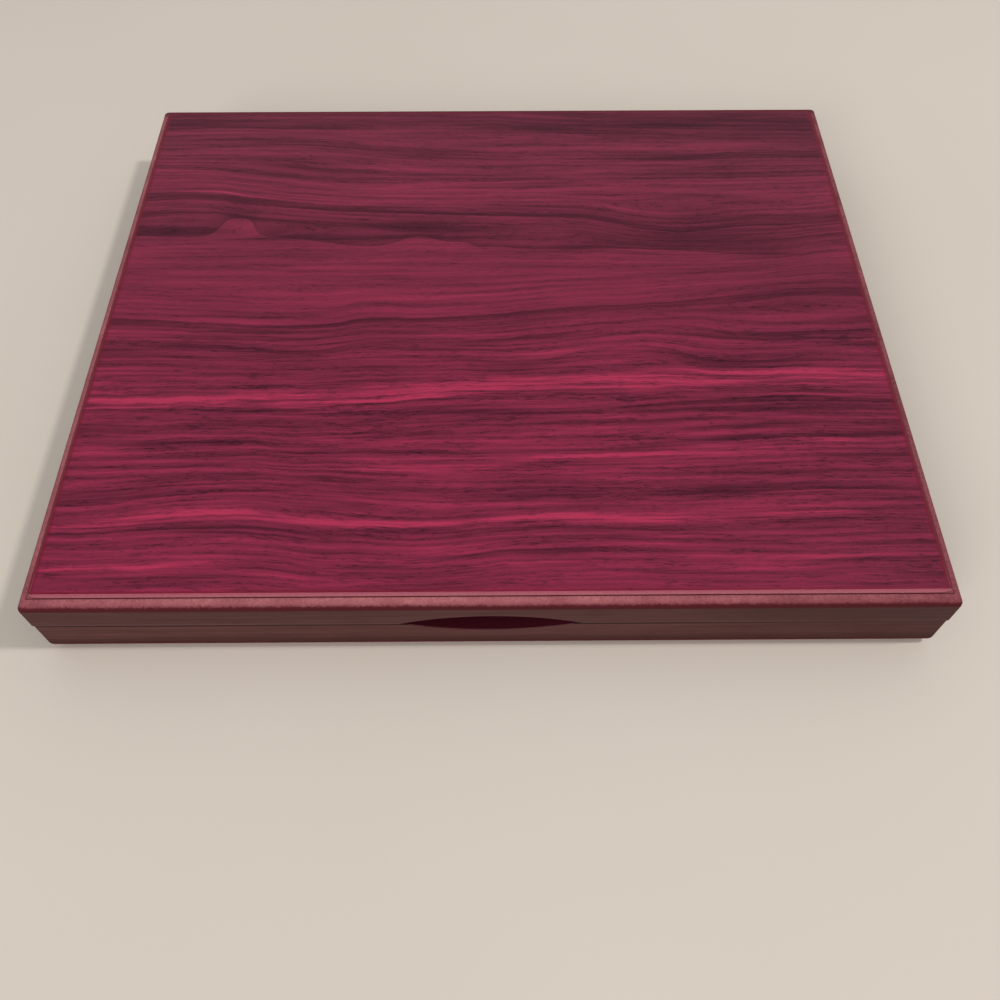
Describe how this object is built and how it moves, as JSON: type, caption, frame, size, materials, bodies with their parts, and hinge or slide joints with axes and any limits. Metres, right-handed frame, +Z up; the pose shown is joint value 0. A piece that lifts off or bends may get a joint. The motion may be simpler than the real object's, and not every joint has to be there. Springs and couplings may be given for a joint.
{
  "type": "badge display case",
  "caption": "Flat rectangular wood-look display case: a shallow hinged lid over a padded base, routed edges and a lens-shaped finger scoop at the front.",
  "frame": {"origin": "middle of the flat face that the case rests on", "axes": "+Z up, +X to the right as seen from the front, +Y to the hinged back; the front with the finger scoop faces -Y"},
  "size_m": [0.3, 0.255, 0.032],
  "materials": {
    "routed_board": "stained fibreboard, matte, sanded at the routed edge",
    "grain_sheet": "printed rosewood-grain sheet, satin",
    "rail_wrap": "fibreboard wrapped in dark brown printed paper, satin",
    "hinge_brass": "plated brass, satin",
    "screw_brass": "plated brass, satin",
    "plated_magnet": "nickel plated, polished",
    "backing_card": "grey board",
    "foam": "soft foam, matte",
    "velvet": "short-pile velvet",
    "lining_velvet": "short-pile velvet"
  },
  "bodies": {
    "base": {"base_board": "routed_board", "base_sheet": "grain_sheet", "base_front_rail": "rail_wrap", "base_back_rail": "rail_wrap", "base_left_rail": "rail_wrap", "base_right_rail": "rail_wrap", "base_magnets": "plated_magnet", "pad_card": "backing_card", "pad_foam": "foam", "pad_cover": "velvet", "left_hinge_base_leaf": "hinge_brass", "right_hinge_base_leaf": "hinge_brass", "left_hinge_pin": "hinge_brass", "right_hinge_pin": "hinge_brass", "base_hinge_screws": "screw_brass"},
    "lid": {"lid_board": "routed_board", "lid_sheet": "grain_sheet", "lid_front_rail": "rail_wrap", "lid_back_rail": "rail_wrap", "lid_left_rail": "rail_wrap", "lid_right_rail": "rail_wrap", "lid_magnets": "plated_magnet", "lining_card": "backing_card", "lining_foam": "foam", "lining_cover": "lining_velvet", "left_hinge_lid_leaf": "hinge_brass", "right_hinge_lid_leaf": "hinge_brass", "lid_hinge_screws": "screw_brass"}
  },
  "joints": [
    {"name": "lid_hinge", "type": "hinge", "parent": "base", "child": "lid", "pos_m": [0, 0.1249, 0.0175], "axis": [-1, 0, 0], "range_deg": [0, 95]}
  ]
}
